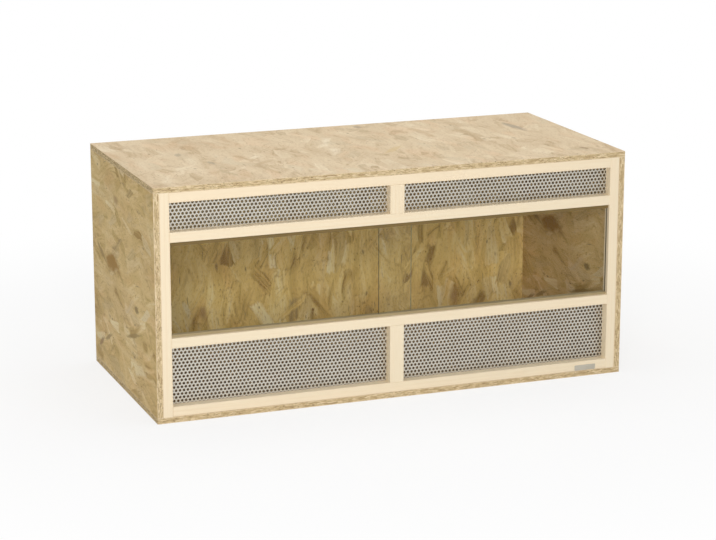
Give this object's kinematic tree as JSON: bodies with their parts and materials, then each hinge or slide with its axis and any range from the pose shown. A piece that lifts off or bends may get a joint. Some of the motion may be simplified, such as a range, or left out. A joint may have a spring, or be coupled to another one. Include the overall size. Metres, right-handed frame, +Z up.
{
  "type": "wooden terrarium",
  "caption": "Strand-board terrarium with a pine batten front, perforated metal vent bands above and below, and sliding glass doors in plastic tracks.",
  "frame": {"origin": "middle of the underside, on the surface that the terrarium stands on", "axes": "+Z up; the front with its doors faces -Y; +X runs along the width to the right as seen from the front"},
  "size_m": [1, 0.47, 0.47],
  "materials": {
    "strand_board": "raw oriented strand board",
    "pine": "planed, unvarnished",
    "beech": "pressed or fluted joinery stock",
    "track_plastic": "extruded, satin",
    "clear_glass": "clear float glass, seamed edges",
    "vent_metal": "satin perforated sheet",
    "staple_wire": "zinc-plated wire"
  },
  "bodies": {
    "cabinet": {"bottom_panel": "strand_board", "top_panel": "strand_board", "left_side_panel": "strand_board", "right_side_panel": "strand_board", "back_panel": "strand_board", "panel_biscuits": "beech", "left_stile": "pine", "right_stile": "pine", "bottom_rail": "pine", "lower_middle_rail": "pine", "upper_middle_rail": "pine", "top_rail": "pine", "lower_muntin": "pine", "upper_muntin": "pine", "frame_dowels": "beech", "lower_glass_track": "track_plastic", "upper_glass_track": "track_plastic", "lower_left_grille": "vent_metal", "lower_right_grille": "vent_metal", "upper_left_grille": "vent_metal", "upper_right_grille": "vent_metal", "grille_staples": "staple_wire"},
    "left_door": {"left_glass_door": "clear_glass"},
    "right_door": {"right_glass_door": "clear_glass"}
  },
  "joints": [
    {"name": "left_door_slide", "type": "slide", "parent": "cabinet", "child": "left_door", "axis": [1, 0, 0], "range_m": [0, 0.431]},
    {"name": "right_door_slide", "type": "slide", "parent": "cabinet", "child": "right_door", "axis": [-1, 0, 0], "range_m": [0, 0.431]}
  ]
}
